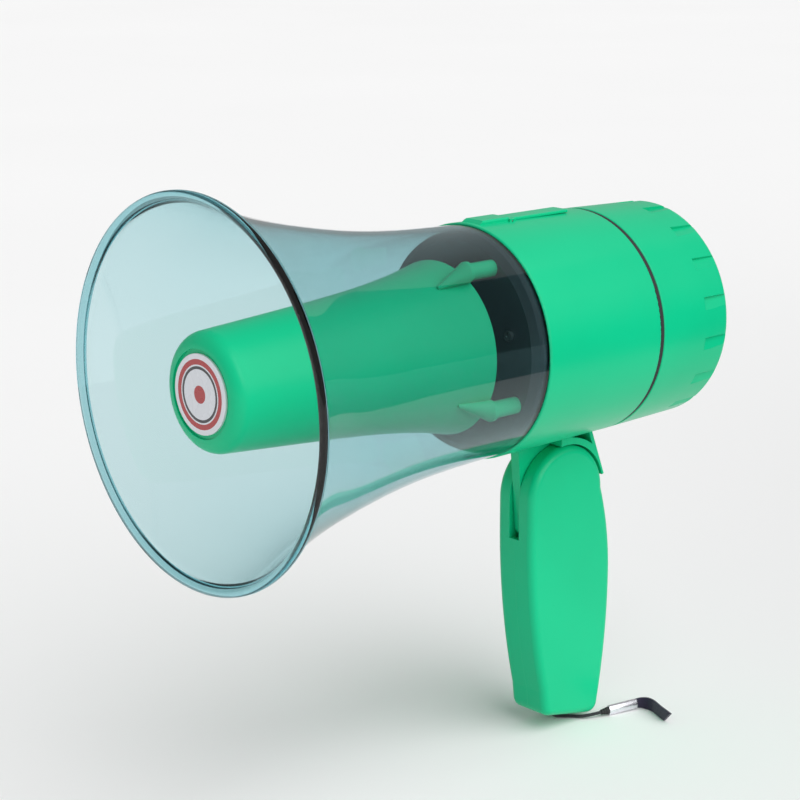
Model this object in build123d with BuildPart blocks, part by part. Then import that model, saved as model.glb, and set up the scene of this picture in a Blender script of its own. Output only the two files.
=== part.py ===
from build123d import *
from math import radians, sin, cos, tan, pi
import os

# Handheld megaphone, millimetres. The origin is the middle of the grip, +Z up, the mouth faces -Y,
# and +X is the megaphone's left side. "Depth" is the distance behind the mouth along the horn's axis.

# ---- overall places ----
mouth_ahead = 262.0            # from the grip's middle forward to the mouth's plane
barrel_up = 89.2               # from the grip's middle up to the housing's underside
pivot_y = -5.0                 # the handle's fold axis
pivot_z = 56.0

# ---- fits ----
seat_gap = 0.1                 # between pieces that seat in each other
running_gap = 0.05             # round a turning shaft
moving_gap = 0.3               # between pieces that move past each other
screw_gap = 0.03

# ---- housing ----
housing_front = 188.0
housing_length = 89.0
housing_rear = housing_front + housing_length
housing_radius = 65.8
housing_taper = 1.3
housing_rear_radius = housing_radius - housing_taper
housing_wall = 2.5
axis_up = barrel_up + housing_radius     # from the grip's middle up to the horn's axis
bulkhead_depth = housing_front + 9.5
bulkhead_thick = 3.0
bulkhead_hole = 38.0
neck_step = 3.3                # from the housing's rear edge in to the neck
neck_radius = housing_rear_radius - neck_step
neck_wall = 2.4
neck_length = 14.0
edge_round = 1.0

# ---- bell ----
mouth_radius = 102.5
bead_radial = 4.5              # rolled bead round the mouth
bead_axial = 4.6
bead_round = 1.9
bell_throat_radius = housing_radius - 1.0
bell_wall = 2.2
bell_collar = 8.0              # length of the bell's neck inside the housing
bell_collar_wall = 2.4
bell_flare = [(0.0, 1.0), (0.065, 0.862), (0.163, 0.663), (0.272, 0.489), (0.408, 0.323),
              (0.571, 0.166), (0.761, 0.056), (1.0, 0.0)]     # share of depth, share of flare

# ---- baffle, cone and horn tube ----
baffle_front = housing_front - 7.0
baffle_thick = 6.0
baffle_plateau = bell_throat_radius - 7.8
throat_radius = 9.0
cone_front = 5.7
cone_rear = baffle_front - 17.0
cone_nose_radius = 31.6
cone_round = 8.5
cone_wall = 2.0
cone_swell = [(46.0, 33.8), (77.0, 36.0), (107.6, 38.6), (138.0, 42.6)]
cone_rear_radius = 48.0
peg_circle = 52.0
peg_radius = 4.5
peg_front = baffle_front - 21.0
peg_angle = -60.0              # local angle of the first peg, clockwise from +X seen from the front
badge_radius = 20.8
badge_recess = badge_radius + 2.2
badge_recess_deep = 1.2
badge_thick = 1.5
tube_front = 40.0
tube_mouth_radius = 22.5
tube_middle = 110.0
tube_middle_radius = 15.0
tube_wall = 2.0
tube_flange = 18.0
tube_flange_thick = 3.0

# ---- screws ----
screw_radius = 1.5
screw_head = 2.7
screw_head_high = 2.0
post_radius = 4.4
baffle_screw_circle = 42.0
baffle_screw_angle = -15.0
driver_screw_circle = 33.5

# ---- driver ----
cover_radius = 37.0
cover_thick = 6.0
diaphragm_radius = 31.2
coil_radius = 16.8
coil_wall = 0.6
plate_radius = 37.0
top_plate_thick = 4.0
magnet_radius = 30.0
magnet_thick = 16.0
pole_radius = 15.4
yoke_plate_thick = 4.0

# ---- rear cap and control panel ----
seam_wide = 2.6
cap_front = housing_rear + seam_wide
cap_length = 57.4
cap_rear = cap_front + cap_length
cap_radius = housing_rear_radius - 0.1
cap_rear_radius = cap_radius - 1.5
cap_edge_round = 4.4
cap_bore = neck_radius + moving_gap
cap_inner = cap_bore - 1.3
cap_lip = cap_inner - 6.2
panel_depth = cap_rear - 15.0
panel_thick = 3.0
panel_radius = cap_inner - moving_gap
notch_count = 17
notch_deep = 1.3
notch_wide = 7.0
notch_front = cap_rear - 21.0
lug_count = 3
lug_high = 1.4
lug_angle = 7.4
lug_depth = cap_front + 4.3
lug_long = 3.8
lug_play = 0.4                 # degrees either side of a lug
notch_turn = -15.2
panel_screw_circle = cap_lip + 3.0
twist = 24.0

volume_at = (0.0, -30.0)       # places on the panel, across (+X) and up from the axis
mic_at = (0.0, 17.0)
talk_at = (-27.0, -13.0)
siren_at = (27.0, -13.0)
mode_at = (0.0, -10.0)
led_at = (30.0, 13.0)
knob_radius = 10.5
knob_high = 10.0
shaft_radius = 3.0
button_radius = 6.9
button_flange = 8.3
button_high = 4.5
button_travel = 2.5
mic_radius = 15.0
slide_travel = 8.0
slider_wide = 5.0
slider_tall = 6.0
slider_high = 3.0
flange_thick = 1.6             # flange that holds a button or the slider behind the panel
led_radius = 2.2
capsule_radius = 4.8

# ---- electronics ----
board_depth = panel_depth - 13.6
board_thick = 1.6
board_radius = panel_radius - 5.9
board_post_circle = board_radius - 6.0
cell_radius = 9.2
cell_length = 65.0
cell_pitch = 20.6
tray_side = 45.0
tray_front = housing_front + 36.5
cell_front = tray_front + 3.5
tray_flange = neck_radius - 1.4
tray_flange_thick = 2.5
tray_lid_thick = 2.5
tray_screw_circle = tray_flange - 4.6

# ---- top port door ----
ridge_half = 7.0
ridge_high = housing_radius + 1.7
ridge_front = housing_front + 2.0
door_front = housing_front + 25.5      # rear face of the ridge, where the door begins
door_rear = housing_rear - 15.5
door_half = 6.0
door_thick = 1.6
door_floor = housing_radius - 0.8
hinge_depth = door_front + 1.7
hinge_high = door_floor + 0.2
knuckle_radius = 1.4
hinge_pin_radius = 0.6
hinge_ear = 1.8
socket_half = 4.5
socket_front = door_front + 8.5
socket_rear = door_rear - 7.5
socket_top = door_floor - 1.0
socket_deep = socket_top - 6.5

# ---- handle ----
handle_half = 14.3
handle_wall = 2.4
handle_top_radius = 29.6
handle_edge_round = 4.4
fin_half = 3.15
washer_thick = 0.6
washer_radius = 11.0
slot_floor = 33.0              # height of the bottom of the slot in the handle's front
pin_radius = 3.0
pin_half = handle_half - 2.8
hood_gap = 0.7
hood_thick = 3.9
hood_half = handle_half - 1.3
hood_from = 14.0               # degrees round the pivot, from +Y towards +Z
hood_to = 98.0
hood_wall = 2.6
bracket_top = barrel_up + 3.0  # the bracket runs up into the shell by this height
fin_front = [(-35.6, bracket_top), (-30.6, 37.5), (-29.2, 35.4), (-26.6, 34.8)]      # (y, z), down the front
fin_rear = [(-8.0, 42.0), (4.0, 46.0), (7.0, pivot_z), (3.0, bracket_top)]           # and up the rear
pad_front = -9.8               # the pad between the hood and the shell
pad_rear = -1.0
pad_foot = 84.0
handle_brow = (-34.6, 40.0)    # the front edge is straight down to here, then curves back to the chin
handle_chin = (-22.6, -61.0)
handle_palm = (32.9, 2.0)      # rearmost point
handle_butt = (25.2, -77.0)
handle_toe = (-20.8, -76.2)
handle_heel = (24.0, -85.2)
toe_round = 7.5
heel_round = 7.0
handle_bosses = [(2.0, 8.0), (-14.0, -38.0), (10.0, -66.0)]
boss_radius = 4.2

# ---- strap ----
table_z = -87.0                # the surface that the strap lies on
cord_radius = 1.0
cord_route = [(0.0, -1.0, -80.2), (0.0, -1.0, -83.0), (0.5, 2.2, -85.4), (2.2, 6.4, -86.0),
              (5.6, 10.2, -86.0), (9.8, 12.6, -85.7), (13.4, 15.6, -84.9), (15.4, 19.8, -84.4),
              (16.5, 24.2, -84.2)]
collar_length = 5.5
collar_radius = 2.3
ferrule_length = 20.0
ferrule_wide = 5.6
ferrule_thick = 4.2
webbing_wide = 7.5
webbing_thick = 1.5
webbing_turn = [(1.3, 3.0), (5.6, 5.0), (14.5, 2.6), (27.5, -2.6)]     # places beyond the ferrule's end
eyelet_radius = 3.2

HORN = Axis((0, -mouth_ahead, axis_up), (0, 1, 0))
LATHE = Plane(origin=(0, -mouth_ahead, axis_up), x_dir=(0, 1, 0), z_dir=(1, 0, 0))

os.makedirs("parts", exist_ok=True)


def across(depth, turn=0.0):
    """A plane across the horn's axis: local x is +X, local y is down, extrusions go rearward."""
    right = (cos(radians(turn)), 0, -sin(radians(turn)))
    return Plane(origin=(0, depth - mouth_ahead, axis_up), x_dir=right, z_dir=(0, 1, 0))


def side(x=0.0, depth=mouth_ahead, up=0.0):
    """A plane seen from +X: local x goes rearward and local y goes up."""
    return Plane(origin=(x, depth - mouth_ahead, up), x_dir=(0, 1, 0), z_dir=(1, 0, 0))


def keep(piece, label):
    """Name a finished piece and write it."""
    piece.part.label = label
    export_step(piece.part, f"parts/{label}.step")


def turned(*outline, drilled=None):
    """A solid turned about the horn's axis from a half section of (depth, radius) points.

    drilled is the span of depth that the driver's screws pass through."""
    with BuildPart() as piece:
        with BuildSketch(LATHE):
            with BuildLine():
                Polyline(*outline, close=True)
            make_face()
        revolve(axis=HORN)
        if drilled:
            with BuildSketch(across(drilled[0])):
                with PolarLocations(driver_screw_circle, 4, start_angle=45):
                    Circle(screw_radius + seat_gap)
            extrude(amount=drilled[1] - drilled[0], mode=Mode.SUBTRACT)
    return piece


def ring(front, rear, inner, outer, drilled=None):
    """A plain ring about the horn's axis."""
    return turned((front, inner), (front, outer), (rear, outer), (rear, inner), drilled=drilled)


def sector(inner, outer, start, sweep):
    """A face between two arcs about the sketch's origin."""
    with BuildSketch(mode=Mode.PRIVATE) as face:
        with BuildLine():
            outside = CenterArc((0, 0), outer, start, sweep)
            inside = CenterArc((0, 0), inner, start, sweep)
            Line(outside @ 0, inside @ 0)
            Line(outside @ 1, inside @ 1)
        make_face()
    return face.sketch


def screw_set(front, rear, circle, count, angle, head_rear=True, radius=screw_radius):
    """Pan-head screws round the horn's axis, in one group: shank from front to rear."""
    head_at = rear if head_rear else front - screw_head_high
    with BuildPart() as group:
        with BuildSketch(across(front)):
            with PolarLocations(circle, count, start_angle=angle):
                Circle(radius)
        extrude(amount=rear - front)
        with BuildSketch(across(head_at)):
            with PolarLocations(circle, count, start_angle=angle):
                Circle(screw_head)
        extrude(amount=screw_head_high)
        with BuildSketch(across(head_at if not head_rear else head_at + screw_head_high - 0.9)):
            with PolarLocations(circle, count, start_angle=angle):
                Rectangle(3.4, 0.7)
                Rectangle(0.7, 3.4)
        extrude(amount=0.9, mode=Mode.SUBTRACT)
    return group


def on_panel(place):
    """Panel places are given across and up, and a plane across the horn has y down."""
    return Location((place[0], -place[1]))


# ================= horn =================
bell_depth = housing_front
flare_top = mouth_radius - bead_radial / 2 - bell_throat_radius
bell_outside = [(share * bell_depth, bell_throat_radius + flare_top * rise) for share, rise in bell_flare]
bell_inside = [(depth, radius - bell_wall) for depth, radius in bell_outside]
socket_bore = housing_radius - housing_wall
collar_radius_out = socket_bore - seat_gap
collar_radius_in = collar_radius_out - bell_collar_wall

with BuildPart() as bell:
    with BuildSketch(LATHE):
        with BuildLine():
            Spline(*bell_outside)
            Polyline(bell_outside[-1], (bell_depth, collar_radius_out),
                     (bell_depth + bell_collar, collar_radius_out),
                     (bell_depth + bell_collar, collar_radius_in),
                     (bell_depth, collar_radius_in), bell_inside[-1])
            Spline(*bell_inside[::-1])
            Line(bell_inside[0], bell_outside[0])
        make_face()
        with Locations((bead_axial / 2, mouth_radius - bead_radial / 2)):
            RectangleRounded(bead_axial, bead_radial, bead_round)
    revolve(axis=HORN)
keep(bell, "bell")

bell_gasket = ring(bell_depth + bell_collar, bulkhead_depth, collar_radius_in + 0.2, collar_radius_out)
keep(bell_gasket, "bell_gasket")

nose_corner = (cone_front + cone_round, cone_nose_radius - cone_round)
with BuildPart() as reflex_cone:
    with BuildSketch(LATHE):
        with BuildLine():
            Line((cone_front, 0), (cone_front, nose_corner[1]))
            CenterArc(nose_corner, cone_round, 180, -90)
            Spline((nose_corner[0], cone_nose_radius), *cone_swell, (cone_rear, cone_rear_radius))
            Line((cone_rear, cone_rear_radius), (cone_rear, cone_rear_radius - cone_wall))
            Spline((cone_rear, cone_rear_radius - cone_wall),
                   *[(depth, radius - cone_wall) for depth, radius in cone_swell[::-1]],
                   (nose_corner[0], cone_nose_radius - cone_wall))
            CenterArc(nose_corner, cone_round - cone_wall, 90, 90)
            Line((cone_front + cone_wall, nose_corner[1]), (cone_front + cone_wall, 0))
            Line((cone_front + cone_wall, 0), (cone_front, 0))
        make_face()
    revolve(axis=HORN)
    with BuildSketch(across(cone_front)):
        Circle(badge_recess)
    extrude(amount=badge_recess_deep, mode=Mode.SUBTRACT)
    for peg in range(4):
        angle = peg_angle + 90 * peg
        spot = (peg_circle * cos(radians(angle)), peg_circle * sin(radians(angle)))
        toe = cone_swell[-1][1] + 1.6
        with BuildSketch(across(peg_front - 15)) as tip:
            with Locations((toe * cos(radians(angle)), toe * sin(radians(angle)))):
                Circle(0.9)
        with BuildSketch(across(peg_front + 1)) as boss:
            with Locations(spot):
                Circle(peg_radius + 1.2)
        loft(sections=[tip.sketch, boss.sketch])
        with BuildSketch(across(peg_front + 1)):
            with Locations(spot):
                Circle(peg_radius + 1.2)
        extrude(amount=2.0)
        with BuildSketch(across(peg_front)):
            with Locations(spot):
                Circle(peg_radius)
        extrude(amount=baffle_front - peg_front)
        with BuildSketch(across(baffle_front)):
            with Locations(spot):
                Circle(screw_radius + screw_gap)
        extrude(amount=-14.0, mode=Mode.SUBTRACT)
    with BuildSketch(LATHE):
        with BuildLine():
            Polyline((cone_front + 3, 0), (cone_front + 3, cone_nose_radius - cone_round),
                     (nose_corner[0], cone_nose_radius - cone_wall - 1.0),
                     (cone_swell[1][0], cone_swell[1][1] - cone_wall - 1.0),
                     (cone_rear, cone_rear_radius - cone_wall - 1.5), (cone_rear, 0), close=True)
        make_face()
    revolve(axis=HORN, mode=Mode.SUBTRACT)
keep(reflex_cone, "reflex_cone")

badge_front = cone_front + badge_recess_deep - badge_thick
with BuildPart() as nose_badge:
    with BuildSketch(across(badge_front)):
        Circle(badge_radius)
    extrude(amount=badge_thick)
    fillet(nose_badge.edges().filter_by(GeomType.CIRCLE).sort_by(Axis.Y)[0], 0.4)
keep(nose_badge, "nose_badge")

with BuildPart() as throat_tube:
    with BuildSketch(LATHE):
        with BuildLine():
            Spline((tube_front, tube_mouth_radius), (tube_middle, tube_middle_radius),
                   (baffle_front, throat_radius))
            Polyline((baffle_front, throat_radius), (baffle_front, tube_flange),
                     (baffle_front - tube_flange_thick, tube_flange),
                     (baffle_front - tube_flange_thick, throat_radius + tube_wall + 0.3))
            Spline((baffle_front - tube_flange_thick, throat_radius + tube_wall + 0.3),
                   (tube_middle, tube_middle_radius + tube_wall),
                   (tube_front, tube_mouth_radius + tube_wall))
            Line((tube_front, tube_mouth_radius + tube_wall), (tube_front, tube_mouth_radius))
        make_face()
    revolve(axis=HORN)
keep(throat_tube, "throat_tube")

baffle_back = baffle_front + baffle_thick
baffle_rim = bell_throat_radius - bell_wall - seat_gap
spigot_radius = collar_radius_in - seat_gap
with BuildPart() as baffle:
    with BuildSketch(LATHE):
        with BuildLine():
            Polyline((baffle_front, throat_radius), (baffle_front, baffle_plateau),
                     (baffle_front + 2.2, baffle_rim - 1.0), (baffle_front + 4.0, baffle_rim),
                     (bell_depth, baffle_rim), (bell_depth, spigot_radius), (bulkhead_depth, spigot_radius),
                     (bulkhead_depth, spigot_radius - 3.2), (baffle_back, spigot_radius - 3.2),
                     (baffle_back, throat_radius), close=True)
        make_face()
    revolve(axis=HORN)
    with BuildSketch(across(baffle_back)):
        with PolarLocations(baffle_screw_circle, 4, start_angle=baffle_screw_angle):
            Circle(post_radius)
    extrude(amount=bulkhead_depth - baffle_back)
    with BuildSketch(across(baffle_front)):
        with PolarLocations(baffle_screw_circle, 4, start_angle=baffle_screw_angle):
            Circle(screw_radius + seat_gap)
        with PolarLocations(peg_circle, 4, start_angle=peg_angle):
            Circle(screw_radius + seat_gap)
    extrude(amount=bulkhead_depth - baffle_front, mode=Mode.SUBTRACT)
    with BuildSketch(across(baffle_back)):
        with PolarLocations(driver_screw_circle, 4, start_angle=45):
            Circle(screw_radius + screw_gap)
    extrude(amount=-4.5, mode=Mode.SUBTRACT)
keep(baffle, "baffle")

keep(screw_set(baffle_front, bulkhead_depth + 12.0, baffle_screw_circle, 4, baffle_screw_angle, False),
     "baffle_screws")
keep(screw_set(baffle_front - 12.0, baffle_back, peg_circle, 4, peg_angle), "cone_screws")

# ================= driver =================
cover_back = baffle_back + cover_thick
rim_back = cover_back + 0.5
plate_front = cover_back + 4.0
plate_back = plate_front + top_plate_thick
magnet_back = plate_back + magnet_thick
rim_seat = diaphragm_radius + seat_gap


driver_cover = turned((baffle_back, throat_radius), (baffle_back, cover_radius), (cover_back, cover_radius),
                      (cover_back, diaphragm_radius - 3), (baffle_back + 3.5, diaphragm_radius - 5),
                      (baffle_back + 3.5, throat_radius), drilled=(baffle_back, cover_back))
keep(driver_cover, "driver_cover")

with BuildPart() as diaphragm:
    with BuildSketch(LATHE):
        with BuildLine():
            Polyline((cover_back - 2.0, 0), (cover_back - 1.1, 9.0), (cover_back + 1.6, coil_radius),
                     (cover_back, diaphragm_radius - 3), (cover_back, diaphragm_radius),
                     (rim_back, diaphragm_radius), (rim_back, diaphragm_radius - 3),
                     (cover_back + 2.2, coil_radius), (cover_back - 0.5, 9.0), (cover_back - 1.4, 0),
                     close=True)
        make_face()
    revolve(axis=HORN)
keep(diaphragm, "diaphragm")

voice_coil = ring(cover_back + 2.5, plate_back + 1.0, coil_radius - coil_wall, coil_radius)
keep(voice_coil, "voice_coil")

driver_gasket = turned((rim_back, diaphragm_radius - 2.7), (rim_back, rim_seat), (cover_back, rim_seat),
                       (cover_back, cover_radius), (plate_front, cover_radius),
                       (plate_front, diaphragm_radius - 2.7), drilled=(cover_back, plate_front))
keep(driver_gasket, "driver_gasket")

top_plate = ring(plate_front, plate_back, coil_radius + 0.8, plate_radius, drilled=(plate_front, plate_back))
keep(top_plate, "top_plate")

ferrite_magnet = ring(plate_back, magnet_back, coil_radius + 4.0, magnet_radius)
keep(ferrite_magnet, "ferrite_magnet")

yoke = turned((plate_front, 0), (plate_front, pole_radius), (magnet_back, pole_radius),
              (magnet_back, magnet_radius - 1.0), (magnet_back + yoke_plate_thick, magnet_radius - 1.0),
              (magnet_back + yoke_plate_thick, 0))
keep(yoke, "yoke")

keep(screw_set(baffle_back - 4.0, plate_back, driver_screw_circle, 4, 45), "driver_screws")

# ================= housing =================
neck_rear = housing_rear + neck_length
shell_inner = housing_rear_radius - housing_wall
step = bulkhead_depth + bulkhead_thick
with BuildPart() as main_housing:
    with BuildSketch(LATHE):
        with BuildLine():
            Polyline((housing_front, socket_bore), (housing_front, housing_radius),
                     (housing_rear, housing_rear_radius), (housing_rear, neck_radius),
                     (neck_rear, neck_radius),
                     (neck_rear, neck_radius - neck_wall), (housing_rear - 3.0, neck_radius - neck_wall),
                     (housing_rear - 6.0, shell_inner), (step, shell_inner), (step, bulkhead_hole),
                     (bulkhead_depth, bulkhead_hole), (bulkhead_depth, socket_bore), close=True)
        make_face()
    revolve(axis=HORN)
    rims = main_housing.edges().filter_by(GeomType.CIRCLE)
    fillet([edge for edge in rims if edge.radius > shell_inner + 1.5], edge_round)
    # bosses for the baffle's and the battery tray's screws
    with BuildSketch(across(step)):
        with PolarLocations(baffle_screw_circle, 4, start_angle=baffle_screw_angle):
            Circle(post_radius + 0.4)
    extrude(amount=11.0)
    with BuildSketch(across(bulkhead_depth)):
        with PolarLocations(baffle_screw_circle, 4, start_angle=baffle_screw_angle):
            Circle(screw_radius + screw_gap)
    extrude(amount=12.5, mode=Mode.SUBTRACT)
    with BuildSketch(across(housing_rear - 2.0)):
        with PolarLocations(tray_screw_circle, 3, start_angle=90):
            Circle(post_radius)
        Circle(neck_radius - 0.5 * neck_wall, mode=Mode.INTERSECT)
    extrude(amount=neck_rear - housing_rear + 2.0)
    with BuildSketch(across(neck_rear)):
        with PolarLocations(tray_screw_circle, 3, start_angle=90):
            Circle(screw_radius + screw_gap)
    extrude(amount=-11.0, mode=Mode.SUBTRACT)
    # bayonet lugs
    for lug in range(lug_count):
        with BuildSketch(across(lug_depth)):
            lug_from = lug * 360 / lug_count - lug_angle / 2
            add(sector(neck_radius - 1.0, neck_radius + lug_high, lug_from, lug_angle))
        extrude(amount=lug_long)
    # ridge along the top, rounded at its front
    ridge_foot = socket_bore + 0.4
    with BuildSketch(side(-ridge_half, 0.0, axis_up)):
        with BuildLine():
            Polyline((ridge_front, ridge_foot), (ridge_front, housing_radius - 1.0),
                     (ridge_front + 4.0, ridge_high), (door_front, ridge_high), (door_front, ridge_foot),
                     close=True)
        make_face()
    extrude(amount=2 * ridge_half)
    ridge_top = main_housing.edges().filter_by(Axis.Y).group_by(Axis.Z)[-1]
    fillet(ridge_top, 1.2)
    # hinge ears either side of the door's knuckle
    for hand in (-1, 1):
        ear_from = hand * (door_half + moving_gap + hinge_ear / 2) - hinge_ear / 2
        with BuildSketch(side(ear_from, 0.0, axis_up)):
            with BuildLine():
                Polyline((door_front - 0.5, ridge_foot), (door_front - 0.5, ridge_high - 1.0),
                         (hinge_depth + 2.0, ridge_high - 1.0), (hinge_depth + 3.4, ridge_foot), close=True)
            make_face()
        extrude(amount=hinge_ear)
    # seat of the port door, its hinge pocket and the opening for the sockets
    with BuildSketch(side(-door_half - moving_gap, 0.0, axis_up)):
        with BuildLine():
            Polyline((door_front, hinge_high - knuckle_radius - 0.4), (door_front, ridge_high + 1),
                     (door_rear + moving_gap, ridge_high + 1), (door_rear + moving_gap, door_floor - 0.1),
                     (hinge_depth + knuckle_radius + moving_gap, door_floor - 0.1),
                     (hinge_depth + knuckle_radius + moving_gap, hinge_high - knuckle_radius - 0.4),
                     close=True)
        make_face()
    extrude(amount=2 * (door_half + moving_gap), mode=Mode.SUBTRACT)
    with BuildSketch(side(-socket_half, 0.0, axis_up)):
        with BuildLine():
            Polyline((socket_front, socket_deep - 2), (socket_front, ridge_high), (socket_rear, ridge_high),
                     (socket_rear, socket_deep - 2), close=True)
        make_face()
    extrude(amount=2 * socket_half, mode=Mode.SUBTRACT)
    with BuildSketch(side(-door_half - moving_gap - hinge_ear, 0.0, axis_up)):
        with Locations((hinge_depth, hinge_high)):
            Circle(hinge_pin_radius + 0.02)
    extrude(amount=2 * (door_half + moving_gap + hinge_ear), mode=Mode.SUBTRACT)
    # bracket: the fin that runs down into the handle
    with BuildSketch(side(-fin_half)):
        with BuildLine():
            Polyline(*fin_front, *fin_rear, close=True)
        make_face()
    extrude(amount=2 * fin_half)
    # bracket: the hood over the handle's round top, its pad and its rear wall
    hood_inner = handle_top_radius + hood_gap
    hood_outer = hood_inner + hood_thick
    wall_top = (housing_rear - mouth_ahead - 0.2, bracket_top)
    wall_foot = (pivot_y + hood_inner + 0.6, pivot_z + 7.8)
    with BuildSketch(side(-hood_half)):
        with Locations((pivot_y, pivot_z)):
            add(sector(hood_inner, hood_outer, hood_from, hood_to - hood_from))
        with BuildLine():
            Polyline(wall_top, wall_foot, (wall_foot[0] + 20, wall_foot[1] - 10),
                     (wall_foot[0] + 20, wall_top[1]), close=True)
        make_face(mode=Mode.SUBTRACT)
        with BuildLine():
            Polyline((pad_front, pad_foot), (pad_front, bracket_top), (pad_rear, bracket_top),
                     (pad_rear, pad_foot), close=True)
        make_face()
        with BuildLine():
            Polyline((wall_top[0] - hood_wall, wall_top[1]), wall_top, wall_foot,
                     (wall_foot[0] - 2.2, wall_foot[1]), close=True)
        make_face()
        with Locations((pivot_y, pivot_z)):
            Circle(hood_inner, mode=Mode.SUBTRACT)
    extrude(amount=2 * hood_half)
    with BuildSketch(side(-fin_half)):
        with Locations((pivot_y, pivot_z)):
            Circle(pin_radius + running_gap)
    extrude(amount=2 * fin_half, mode=Mode.SUBTRACT)
    # nothing of the ridge or bracket stands inside the shell
    with BuildSketch(across(step + 11.5)):
        Circle(shell_inner - 0.1)
        with PolarLocations(tray_screw_circle, 3, start_angle=90):
            Circle(post_radius + 0.2, mode=Mode.SUBTRACT)
    extrude(amount=housing_rear - 6.0 - step - 11.5, mode=Mode.SUBTRACT)
keep(main_housing, "main_housing")

seam_ring = ring(housing_rear, cap_front - seat_gap, neck_radius + 0.02, neck_radius + neck_step - 0.5)
keep(seam_ring, "seam_ring")

with BuildPart() as socket_block:
    block_half = socket_half - seat_gap
    with BuildSketch(side(-block_half, 0.0, axis_up)):
        with BuildLine():
            Polyline((socket_front + seat_gap, socket_deep), (socket_front + seat_gap, socket_top),
                     (socket_rear - seat_gap, socket_top), (socket_rear - seat_gap, socket_deep), close=True)
        make_face()
    extrude(amount=2 * block_half)
    with BuildSketch(Plane(origin=(0, -mouth_ahead, axis_up + socket_top))):
        with Locations((0, socket_front + 6.5)):
            Circle(3.0)
        with Locations((0, socket_front + 16.5)):
            RectangleRounded(3.4, 9.2, 1.6)
        with Locations((0, socket_front + 26.5)):
            Rectangle(1.2, 7.6)
    extrude(amount=-5.0, mode=Mode.SUBTRACT)
keep(socket_block, "socket_block")

with BuildPart() as port_door:
    with BuildSketch(side(-door_half, 0.0, axis_up)):
        with BuildLine():
            Polyline((hinge_depth, door_floor), (hinge_depth, door_floor + door_thick),
                     (door_rear, door_floor + door_thick), (door_rear, door_floor), close=True)
        make_face()
        with Locations((hinge_depth, hinge_high)):
            Circle(knuckle_radius)
    extrude(amount=2 * door_half)
    with BuildSketch(Plane(origin=(0, -mouth_ahead, axis_up + door_floor))):
        with Locations((0, (socket_front + socket_rear) / 2)):
            Rectangle(2 * socket_half - 1.2, socket_rear - socket_front - 3.0)
    extrude(amount=-0.7)
    fillet(port_door.edges().filter_by(Axis.Z).group_by(Axis.Y)[-1], 1.5)
    fillet(port_door.faces().sort_by(Axis.Z)[-1].edges().filter_by(Axis.Y), 0.7)
    with BuildSketch(side(-door_half, 0.0, axis_up)):
        with Locations((hinge_depth, hinge_high)):
            Circle(hinge_pin_radius + running_gap)
    extrude(amount=2 * door_half, mode=Mode.SUBTRACT)
keep(port_door, "port_door")

with BuildPart() as port_hinge_pin:
    pin_reach = door_half + moving_gap + hinge_ear - 0.3
    with BuildSketch(side(-pin_reach, 0.0, axis_up)):
        with Locations((hinge_depth, hinge_high)):
            Circle(hinge_pin_radius)
    extrude(amount=2 * pin_reach)
keep(port_hinge_pin, "port_hinge_pin")

# ================= batteries =================
tray_rear = cell_front + cell_length
flange_front = neck_rear
with BuildPart() as battery_tray:
    with BuildSketch(across(tray_front)):
        RectangleRounded(tray_side, tray_side, 4.0)
    extrude(amount=tray_rear + 0.5 - tray_front)
    with BuildSketch(across(flange_front)):
        Circle(tray_flange)
    extrude(amount=tray_flange_thick)
    with BuildSketch(across(cell_front - 0.5)):
        with GridLocations(cell_pitch, cell_pitch, 2, 2):
            Circle(cell_radius + 0.2)
    extrude(amount=cell_length + 5.0, mode=Mode.SUBTRACT)
    with BuildSketch(across(flange_front)):
        with PolarLocations(tray_screw_circle, 3, start_angle=90):
            Circle(screw_radius + seat_gap)
    extrude(amount=tray_flange_thick, mode=Mode.SUBTRACT)
keep(battery_tray, "battery_tray")

with BuildPart() as battery_cells:
    with BuildSketch(across(cell_front)):
        with GridLocations(cell_pitch, cell_pitch, 2, 2):
            Circle(cell_radius)
    extrude(amount=cell_length - 1.0)
    with BuildSketch(across(cell_front + cell_length - 1.0)):
        with GridLocations(cell_pitch, cell_pitch, 2, 2):
            Circle(3.2)
    extrude(amount=1.0)
keep(battery_cells, "battery_cells")

with BuildPart() as battery_contacts:
    with BuildSketch(across(cell_front - 0.5)):
        with GridLocations(cell_pitch, cell_pitch, 2, 2):
            Circle(4.5)
    extrude(amount=0.5)
keep(battery_contacts, "battery_contacts")

lid_front = max(tray_rear + 0.5, flange_front + tray_flange_thick)
with BuildPart() as battery_lid:
    with BuildSketch(across(lid_front)):
        RectangleRounded(tray_side, tray_side, 4.0)
    extrude(amount=tray_lid_thick)
keep(battery_lid, "battery_lid")

tray_screws = screw_set(flange_front - 10.0, flange_front + tray_flange_thick, tray_screw_circle, 3, 90)
keep(tray_screws, "tray_screws")

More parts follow.
